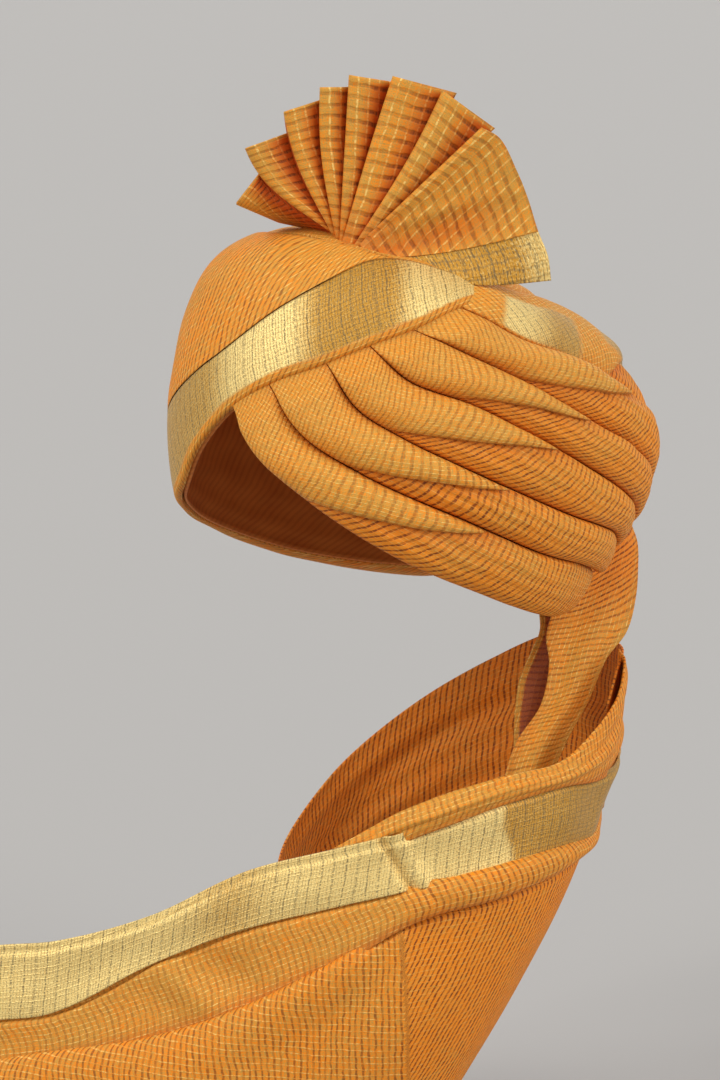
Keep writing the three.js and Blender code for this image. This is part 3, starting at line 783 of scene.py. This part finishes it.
# Fan
# The starched end of the cloth, pressed into pleats and stood up behind the front panel. Each
# pleat has a round ridge, and its face slopes back behind the ridge of the next one.
# Each row: longitude of its foot, how far its ridge bows out to the left, and the places across
# and height of the tip of its ridge and of the end of its slope.
PLEATS = [
    (-10, 0, (-66, 84), (-56, 97)),
    (15.5, 6, (-62, 107), (-45, 113)),
    (17.5, 3, (-46, 122), (-30, 127)),
    (19.6, 2.5, (-31, 132), (-18, 132)),
    (21.4, 0, (-19, 137), (-1, 134)),
    (23.5, 0.5, (-1, 136.5), (25, 129.5)),
    (28.5, -2, (19.5, 130.5), (41, 115)),
]
PLEAT_FOOT_LATITUDE = 27
PLEAT_FOOT_LIFT = 7
PLEAT_FOOT_SUNK = 0.14
PLEAT_TIP_OUT = 60
PLEAT_TIP_DEPTH = 4.5
PLEAT_FOOT_DEPTH = 0.8
RIDGE_RADIUS = 2.4
RIDGE_SHARE = 0.2
FAN_CLOTH = 0.8
PLEAT_WIDTH = 31
PLEAT_HEIGHT = 62
FACE_STEPS = 30


def turned(across, out, height):
    across, out, height = np.broadcast_arrays(across, out, height)
    return across[..., None] * ACROSS + out[..., None] * OUT + height[..., None] * UP


def foot_at(longitude, latitude, lift):
    return on_head(aim([(longitude, latitude)]), np.array([float(lift)]))[0]


def ridge_line(longitude, bow, tip, v):
    """The ridge of a pleat, from its foot at 0 to its tip at 1."""
    tip = turned(tip[0], PLEAT_TIP_OUT, tip[1])
    foot = foot_at(longitude, PLEAT_FOOT_LATITUDE, PLEAT_FOOT_LIFT)
    foot = foot - (tip - foot) * PLEAT_FOOT_SUNK
    line = foot + (tip - foot) * v[..., None]
    return line - (bow * np.sin(math.pi * v**1.2))[..., None] * ACROSS


# The last entry is the left edge of the leaf beside the pleats.
LEAF_RIDGE = (31, -1, (35.5, 115.5))
ridge_rows = [(turn, bow, tip) for turn, bow, tip, _ in PLEATS] + [LEAF_RIDGE]
v = np.linspace(0, 1, 71)
depth = PLEAT_FOOT_DEPTH + (PLEAT_TIP_DEPTH - PLEAT_FOOT_DEPTH) * v
columns, weave_columns, slope_columns = [], [], []
for k, (_, _, _, slope_tip) in enumerate(PLEATS):
    ridge, next_ridge = ridge_line(*ridge_rows[k], v), ridge_line(*ridge_rows[k + 1], v)
    gap = np.array(slope_tip) - np.array(ridge_rows[k + 1][2])
    end = next_ridge + v[:, None] * (gap[0] * ACROSS + gap[1] * UP) + ((1 - v) * 1.2)[:, None] * ACROSS
    face = np.linalg.norm(end - ridge, axis=-1)
    for w in np.linspace(0, 1, FACE_STEPS + 1):
        nose = RIDGE_RADIUS * v * (1 - math.sqrt(1 - max(0.0, 1 - w / RIDGE_SHARE) ** 2))
        # Across the face the cloth swells a little, then turns away faster and faster.
        out = depth * (1 - 2 * w**1.7) - nose
        columns.append(ridge + (end - ridge) * w + out[:, None] * OUT)
        weave_columns.append(k * PLEAT_WIDTH + w * face)
        slope_columns.append(smooth(np.full_like(v, w), 0.25, 0.9))
    if k + 1 < len(PLEATS):
        for w in (0.3, 0.6, 0.85):
            out = depth * (2 * w - 1) - RIDGE_RADIUS * v * w
            columns.append(end + (next_ridge - end) * w + out[:, None] * OUT)
            weave_columns.append((k + 0.9 + w * 0.08) * PLEAT_WIDTH + 0 * v)
            slope_columns.append(1 + 0 * v)
points = np.stack(columns)
points = points + 0.5 * (grain(points, 16, 9) * v)[..., None] * OUT
up_cloth = np.broadcast_to(v * PLEAT_HEIGHT, points.shape[:2])
weave = np.stack([up_cloth + 0.02 * np.stack(weave_columns), np.stack(weave_columns)], -1)
slope = np.stack(slope_columns)
hem = smooth(v, 0.965, 0.98)
# Painted highlight on the ridges, and painted shade on the slopes and near the foot.
fold_shade = np.maximum(1.4 * slope, 0.55 * (1 - smooth(v, 0.05, 0.4))) * (1 - 0.8 * hem)
marks = {"zari": 0 * slope, "tan_and_highlight": (0.95 * (1 - slope)) * (1 - hem) + hem, "fold_shade": fold_shade}
fan = cloth_piece("fan_silk", points, weave, marks)
wall(fan, FAN_CLOTH)
check_silk = silk_cloth("orange_silk_open", rib_pitch=CHECK_PITCH, gold_pitch=CHECK_PITCH)
fan.data.materials.append(check_silk)
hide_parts("fan")

# Fan leaf
# The last fold of the fan opens into a broad leaf, and the gold edge of the cloth is its lower side.
# Each row: longitude of its foot, and the place across, out and height of its outer edge.
FLAP = [
    (31, (35.5, 64, 115.5)),
    (32, (43, 61, 111)),
    (33.5, (50, 58, 98)),
    (35, (55, 55.5, 86)),
    (37, (59.5, 53, 72)),
    (39, (63.5, 51, 62)),
    (41, (65, 49, 51.5)),
]
FLAP_GOLD_FROM = 0.667
FLAP_SAG = 7.0
FLAP_FOOT_SUNK = 6.0
flap_feet = through([foot_at(foot, PLEAT_FOOT_LATITUDE, PLEAT_FOOT_LIFT) for foot, _ in FLAP])
flap_edge = through([turned(*edge) for _, edge in FLAP])


def leaf(share, v):
    foot = flap_feet(share) - (flap_edge(share) - flap_feet(share)) * 0.1
    foot = foot - FLAP_FOOT_SUNK * smooth(share, 0.1, 0.6)[..., None] * UP
    line = foot + (flap_edge(share) - foot) * v[..., None]
    spread = smooth(v, 0, 0.45) * (1 - 0.3 * v)
    wave = 3.4 * np.cos(share * 2 * math.pi * 0.95) * spread
    wave = wave - 2.2 * spread * (1 - np.sqrt(1 - np.clip(1 - share / 0.06, 0, 1) ** 2))
    wave = wave + 0.9 * np.exp(-(((share - 0.2 - 0.25 * v) / 0.05) ** 2)) * spread
    sag = FLAP_SAG * share**2 * np.sin(math.pi * v**0.8)
    return line + wave[..., None] * OUT - sag[..., None] * UP


for name, start, end, steps, gold, size, area in (
    ("fan_flap", 0.0, FLAP_GOLD_FROM, 90, 0.0, (0.05, 0.055), 0.0022),
    ("fan_border", FLAP_GOLD_FROM - 0.006, 1.0, 40, 1.0, (0.02, 0.05), 0.00095),
):
    share, v = shares(steps, 70)
    share = start + share * (end - start)
    points = leaf(share, v) - 0.5 * gold * OUT
    from_ridge = np.zeros_like(v)
    from_ridge[1:] = np.cumsum(np.linalg.norm(np.diff(points, axis=0), axis=-1), axis=0)
    weave = np.stack([v * PLEAT_HEIGHT, from_ridge * (1 - 0.6 * gold) + 2], -1)
    # Painted shade at the foot and in the hollow across the middle of the leaf, and on the gold border
    # a painted highlight towards its outer edge.
    fold = np.exp(-(((share - 0.5) / 0.13) ** 2)) * (1 - smooth(v, 0.45, 1.0))
    fold_shade = np.maximum(0.6 * (1 - smooth(v, 0.1, 0.4)), 0.7 * fold)
    shine = 0.7 * smooth(v, 0.78, 0.95)
    marks = {
        "zari": gold + 0 * v,
        "tan_and_highlight": gold * shine + (1 - gold) * (0.85 - 0.4 * fold),
        "fold_shade": fold_shade * (1 - gold),
    }
    piece = cloth_piece(name + "_cloth", points, weave, marks)
    wall(piece, FAN_CLOTH)
    piece.data.materials.append(zari if gold else check_silk)
    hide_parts(name)

# Tail strip
# The tail starts as a gathered strip that drops from under the nape tuck, behind the neck.
# Each row: height, and the places across and out of its left and right edges.
DROP = [
    (-54, (82, -50), (103, -66)),
    (-66, (86, -50), (107, -68)),
    (-75, (88, -46), (110, -60)),
    (-86, (82, -39), (110, -54)),
    (-98, (73, -34), (109, -51)),
    (-112, (68, -31), (105, -44)),
    (-124, (69, -25), (95, -35)),
    (-140, (65, -13), (87, -24)),
    (-155, (53, 5), (77, -10)),
    (-176, (47, 18), (67, 4)),
    (-210, (50, 18), (65, 5)),
]
DRAPE_CLOTH = 1.0


def out_from(points, lift):
    """Moves a grid of points off its own surface."""
    along = np.gradient(points, axis=0)
    over = np.gradient(points, axis=1)
    normal = np.cross(along, over)
    normal /= np.maximum(np.linalg.norm(normal, axis=-1, keepdims=True), 1e-9)
    return points + normal * lift[..., None]


def hang(name, points, weave, marks, material):
    piece = cloth_piece(name + "_cloth", points, weave, marks)
    wall(piece, DRAPE_CLOTH)
    piece.data.materials.append(material)
    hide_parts(name)


def between_edges(rows, share, v):
    """A grid from the left to the right edge of rows."""
    left_at = through([turned(*left, height) for height, left, right in rows])
    right_at = through([turned(*right, height) for height, left, right in rows])
    return left_at(share) + (right_at(share) - left_at(share)) * v[..., None]


share, v = shares(150, 50)
points = between_edges(DROP, share, v)
gathers = np.sin(v * 9 + share * 4) * 0.9 + 2.0 * np.sin(math.pi * v)
points = out_from(points, gathers * np.sin(math.pi * v) ** 0.5)
upper = 1 - smooth(share, 0.3, 0.55)
weave = laid_flat(points, 0.1 + 0.5 * upper)
selvedge = smooth(v, 0.88, 0.93)
# Painted shade on the upper strip and along its left edge.
marks = {
    "zari": 0 * v,
    "tan_and_highlight": 0.05 + 0.65 * (1 - upper) + 0.5 * selvedge,
    "fold_shade": 0.4 * upper + 0.2 * (1 - smooth(v, 0, 0.25)),
}
hang("tail_drop", points, weave, marks, silk)

# Back ply
# A sheer ply turned back behind the strip shows dark at its left, painted shade, with a paler selvedge.
# It stands in the scene only. Its rows are like the strip's.
PLY = [
    (-58, (80, -53), (95, -63)),
    (-72, (80, -51), (95, -60)),
    (-84, (75, -48), (90, -54)),
    (-98, (65.6, -44), (84, -46)),
    (-112, (65.6, -42), (82, -42)),
    (-121, (61.6, -38), (80, -38)),
    (-132, (56.3, -32), (76, -32)),
    (-144, (54.1, -25), (72, -25)),
    (-157, (53.2, -12), (66, -15)),
    (-174, (52, 2), (62, -4)),
]
PLY_CLOTH = 0.6
share, v = shares(110, 16)
points = between_edges(PLY, share, v)
points = out_from(points, 0.7 * np.sin(v * 8 + share * 6))
weave = laid_flat(points)
selvedge = 1 - smooth(v, 0.12, 0.2)
# Painted shade over all of it but the selvedge.
marks = {"zari": 0 * v, "tan_and_highlight": selvedge, "fold_shade": 0.8 * (1 - selvedge)}
back_ply = cloth_piece("tail_ply_cloth", points, weave, marks)
wall(back_ply, PLY_CLOTH)
back_ply.data.materials.append(silk_cloth("orange_silk_sheer", sheer=True))

# Tail loop and swag
# The tail goes once round the neck, from behind the left shoulder, and crosses the chest from the
# same shoulder as a swag: a turned-over cowl, the gold edge, and the plies under it.
# Each row: places across and out of the top and the bottom edge, and the heights of the two.
LOOP = [
    ((93.5, 0), (85.5, 2), -138, -190),
    ((98.5, -18), (89.5, -16), -126, -190),
    ((102.3, -38), (94, -36), -119, -190),
    ((95, -57), (87, -53), -117, -189),
    ((77, -75), (72, -70), -117, -188),
    ((48, -87), (46, -84), -131, -196),
    ((12, -87), (12, -86), -152, -212),
    ((-22, -75), (-22, -75), -178, -230),
    ((-45, -48), (-45, -48), -203, -248),
    ((-51, -14), (-51, -14), -214, -256),
    ((-45, 18), (-45, 18), -214, -256),
    ((-27, 37), (-27, 37), -208, -250),
    ((-3, 45), (-3, 45), -202, -242),
    ((22, 41), (22, 41), -194, -232),
    ((39, 29), (39, 29), -184, -220),
    ((48.5, 20.2), (48.5, 20.2), -176, -210),
]
# Each row: places across and out of the upper and the lower half, and the heights of the tops of
# the cowl, the gold and the upper ply, and of the upper ply's foot.
SWAG = [
    ((102, -35), (93, -33), -119, -163, -189, -196),
    ((102, -18), (91, -16), -123, -165, -190, -198),
    ((98, 0), (88, 2), -134, -168, -194, -199),
    ((89, 18), (83, 18), -143, -168, -195, -200),
    ((71, 42), (69, 42), -155, -166, -194, -204),
    ((44, 62), (44, 62), -158, -170, -197, -210),
    ((10, 74), (10, 74), -167, -180, -203, -217),
    ((-27, 76), (-27, 76), -186, -189, -211, -239),
    ((-65, 70), (-65, 70), -199, -200, -222, -260),
    ((-104, 62), (-104, 62), -219, -220, -239, -275),
    ((-143, 53), (-143, 53), -232, -233, -261, -283),
    ((-170, 47), (-170, 47), -236, -237, -267, -289),
    ((-190, 44), (-190, 44), -238, -239, -269, -294),
]
COWL_ENDS_AT = 8
AXIS_REACH = 90


def moved_in(points, depth):
    """Moves points towards the axis of the head, by depth where they are AXIS_REACH from it."""
    return points - points * np.array([1, 1, 0]) / AXIS_REACH * depth[..., None]


def band(rows, top_path, top, bottom_path, bottom, share, v, tucked=0.0, inward=0.0):
    """A strip of cloth between two edges, each a path and the height along it. Its top edge is
    tucked up behind the piece above it and lies inward of it there."""

    def edge(path, height, inset):
        level = through([turned(*row[path], 0) for row in rows])(share)
        rise = through([row[height] for row in rows], even=True)(share) + inset
        return level + rise[..., None] * UP

    high, low = edge(top_path, top, tucked - SEAM_GAP), edge(bottom_path, bottom, 0)
    points = high + (low - high) * v[..., None]
    depth = inward * (1 - smooth(v * np.linalg.norm(high - low, axis=-1), tucked, tucked + 3))
    return moved_in(points, depth)


share, v = shares(220, 40)
points = band(LOOP, 0, 2, 1, 3, share, v)
folds = 1.5 * np.sin(v * 11 + 1.5 * np.sin(share * 7)) + 0.8 * np.sin(v * 25 + share * 6)
folds = folds * smooth(share, 0.06, 0.16) * (1 - smooth(share, 0.85, 0.97))
points = out_from(points, folds * np.sin(math.pi * v))
weave = laid_flat(points)
# Painted shade over the whole loop, most along its edges.
marks = {"zari": 0 * v, "tan_and_highlight": 0.15 + 0 * v, "fold_shade": 0.45 - 0.15 * np.sin(math.pi * v)}
hang("tail_loop", points, weave, marks, silk)


def kink(points, share, v, start=0.0):
    """A slanting pinch where the swag was caught up, as a distance off its surface."""
    place = points @ ACROSS + 4.0 - 13.5 * (v + start)
    near = smooth(share, 0.3, 0.4) * (1 - smooth(share, 0.7, 0.8))
    ridge = 1.6 * np.exp(-(((place - 3) / 4) ** 2))
    return near * (ridge - 2.2 * np.exp(-(((place + 2) / 2.4) ** 2)))


share, v = shares(200, 60)
points = band(SWAG[:COWL_ENDS_AT], 0, 2, 0, 3, share, v)
# Its left end lies behind the gold edge, and at the right its foot stands in from the gold edge.
behind = smooth(share, 0.84, 0.92)
points = points - 3.5 * v[..., None] * behind[..., None] * UP
inward = 4.5 * behind + 3.5 * v**2 * (1 - smooth(share, 0.25, 0.5))
inward = inward + 1.2 * (1 - smooth(share, 0, 0.1))
points = moved_in(points, inward)
puff = (0.8 + 2.8 * smooth(share, 0.3, 0.6)) * np.sin(math.pi * v) ** 0.6
puff = puff * smooth(share, 0, 0.12) * (1 - 0.8 * behind)
creases = 1.0 * np.sin(v * 9 + share * 5) + 0.5 * np.sin(v * 21 - share * 9)
creases = creases * np.sin(math.pi * v) * (1 - 0.5 * behind) * smooth(share, 0, 0.12)
points = out_from(points, puff + creases)
weave = laid_flat(points, 0.2)
# Painted shade towards its foot, where it goes in behind the gold edge.
under_edge_shade = smooth(v, 0.72, 1.0)
marks = {"zari": 0 * v, "tan_and_highlight": 0.3 + 0.5 * smooth(share, 0.3, 0.7), "fold_shade": 0.05 + 0.5 * under_edge_shade}
hang("tail_cowl", points, weave, marks, silk)

share, v = shares(300, 44)
points = band(SWAG, 0, 3, 1, 4, share, v, 3, 1.5)
pinch = kink(points, share, v)
ease = 1.1 * np.sin(share * 19 + v * 3) + 0.5 * np.sin(share * 47 - v * 2)
points = out_from(points, pinch + ease * np.sin(math.pi * v) * smooth(share, 0.05, 0.2))
weave = laid_flat(points)
across = points @ ACROSS
# Painted highlight and shade on the gold: lighter to the left, dull to the right and in a band further
# left, and darker in the pinch.
shine = 0.08 + 0.9 * (1 - smooth(across + 2.0 * np.sin(v * 5), 46, 50))
shine = shine * (1 - 0.45 * np.exp(-(((across + 70) / 16) ** 2)))
shine = shine - 0.6 * np.clip(-pinch / 2.4, 0, 1)
marks = {"zari": 1 + 0 * v, "tan_and_highlight": np.clip(shine, 0, 1), "fold_shade": 0 * v}
hang("tail_border", points, weave, marks, zari)

share, v = shares(300, 50)
points = band(SWAG, 1, 4, 1, 5, share, v, 4, 3.0)
across = points @ ACROSS
raised = smooth(across, -6, 14)
puff = 3.6 * np.sin(math.pi * v) ** 0.6 * raised * smooth(share, 0.05, 0.25)
fold = 3.2 * np.exp(-(((across + 104 - 30 * v) / 8) ** 2))
fold = fold - 2.2 * np.exp(-(((across + 86 - 30 * v) / 9) ** 2))
ease = 0.8 * np.sin(share * 23 + v * 2) + fold
pinch = kink(points, share, v, 1.0) * (1 - smooth(v, 0.1, 0.7))
sheer = -1.2 * (1 - raised) * smooth(v, 0.1, 0.6)
points = out_from(points, puff + pinch + sheer + ease * np.sin(math.pi * v) * (1 - raised))
weave = laid_flat(points, 0.1)
# Painted shade towards its lower edge.
marks = {
    "zari": 0 * v,
    "tan_and_highlight": 0.9 - 0.4 * raised,
    "fold_shade": 0.1 + 0.5 * raised * smooth(v, 0.75, 1.0) + 0.6 * smooth(v, 0.72, 0.95) * (1 - raised),
}
hang("tail_upper", points, weave, marks, silk)

# Large drape
# The widest part of the tail hangs below the gold edge and falls in straight ribs to its hem.
# Each row: place across, out and height of its head, and the same of its hem.
DRAPE = [
    ((86, -13, -199.5), (36, -2, -296)),
    ((83, 14, -201), (30, 20, -303)),
    ((69, 40, -205), (16, 40, -309)),
    ((44, 60, -211), (-6, 52, -312)),
    ((10, 72, -218), (-30, 60, -314)),
    ((-27, 74, -240), (-60, 65, -316)),
    ((-65, 68, -261), (-90, 64, -317)),
    ((-104, 60, -276), (-120, 58, -318)),
    ((-143, 51, -284), (-150, 50, -319)),
    ((-170, 45, -290), (-172, 44, -320)),
    ((-190, 42, -295), (-190, 41, -320)),
]
DRAPE_BULGE = 4
DRAPE_RAISED = 5.0
share, v = shares(260, 110)
head = through([turned(*row[0]) for row in DRAPE])(share)
hem = through([turned(*row[1]) for row in DRAPE])(share)
# Its head goes up behind the raised fold on the right, and is folded over in front on the left.
head = head + DRAPE_RAISED * UP
points = head + (hem - head) * v[..., None]
across = points @ ACROSS
outward = points * np.array([1, 1, 0])
outward /= np.linalg.norm(outward, axis=-1, keepdims=True)
below = v * np.linalg.norm(hem - head, axis=-1)
in_front = 1 - smooth(across, -24, 0)
lip = 4.5 * (1 - np.sqrt(1 - np.clip(1 - below / 4.5, 0, 1) ** 2))
tucked = 3.2 * (1 - smooth(below, 4, 10))
depth = in_front * (4.2 * (1 - smooth(below, 8, 40)) - lip) - (1 - in_front) * tucked
sway = 2.0 * np.sin(across / 15 + 2.5 * v) * smooth(v, 0.1, 0.6)
pull = 1.6 * np.exp(-(((across - 2 - 3 * np.sin(2 * v)) / 4) ** 2)) * (1 - 0.7 * smooth(v, 0.1, 0.9))
depth = depth + DRAPE_BULGE * np.sin(math.pi * v) + sway + pull
points = points + outward * depth[..., None]
along, over = cloth_lengths(points)
plain = smooth(across, 0, 8)
# Left of the pull its ribs fall plumb, with level gold threads; right of it they follow its side.
side = across > 2.0 + 3.0 * np.sin(2 * v)
level = points @ UP + 0.08 * across
weave = np.where(side[..., None], np.stack([along, over], -1), np.stack([-across, level], -1))
# Painted shade just under its head on the right, where the head goes up behind the raised fold.
marks = {
    "zari": 0 * v,
    "tan_and_highlight": 0.5 * (1 - plain),
    "fold_shade": 0.1 + 0.45 * (1 - smooth(below, 2, 12)) * (1 - in_front),
}
close_silk = silk_cloth("orange_silk_fall", rib_pitch=2.6, gold_pitch=2.9)
hang("tail_lower", points, weave, marks, close_silk)

# Floor and light
# A plain pale floor just under the hem, a soft light high on the left of the view, weaker ones
# on the right and behind, and an even grey all round.
FLOOR_COLOUR = (0.425, 0.412, 0.398)
FLOOR_DROP = 0.016
FLOOR_SIZE = 4000.0
STUDIO_GREY = 0.52

bm = bmesh.new()
bmesh.ops.create_grid(bm, x_segments=1, y_segments=1, size=FLOOR_SIZE / 2)
bmesh.ops.translate(bm, verts=bm.verts, vec=(0, 0, cad_box[0].z - FLOOR_DROP))
floor_mesh = bpy.data.meshes.new("floor")
bm.to_mesh(floor_mesh)
bm.free()
floor = bpy.data.objects.new("floor", floor_mesh)
bpy.context.scene.collection.objects.link(floor)
floor_material, _, floor_shader = new_material("floor_paint")
floor_shader.inputs["Base Color"].default_value = (*FLOOR_COLOUR, 1)
floor_shader.inputs["Roughness"].default_value = 0.9
floor_mesh.materials.append(floor_material)

# Name, turn and rise of its direction in degrees, softness in degrees, strength.
LIGHTS = [
    ("key_light", -2, 34, 35, 1.7),
    ("fill_light", 105, 28, 50, 1.5),
    ("back_light", 215, 40, 60, 0.5),
]
for name, turn, rise, softness, strength in LIGHTS:
    turn, rise = math.radians(turn), math.radians(rise)
    direction = Vector(
        (math.sin(turn) * math.cos(rise), -math.cos(turn) * math.cos(rise), math.sin(rise))
    )
    lamp = bpy.data.lights.new(name, "SUN")
    lamp.angle, lamp.energy = math.radians(softness), strength
    light = bpy.data.objects.new(name, lamp)
    light.location = direction * 2
    light.rotation_mode = "QUATERNION"
    light.rotation_quaternion = direction.to_track_quat("Z", "Y")
    bpy.context.scene.collection.objects.link(light)

world = bpy.data.worlds.new("studio")
world.use_nodes = True
world.node_tree.nodes["Background"].inputs[0].default_value = (1, 0.99, 0.975, 1)
world.node_tree.nodes["Background"].inputs[1].default_value = STUDIO_GREY
bpy.context.scene.world = world
bpy.context.scene.view_settings.view_transform = "Standard"
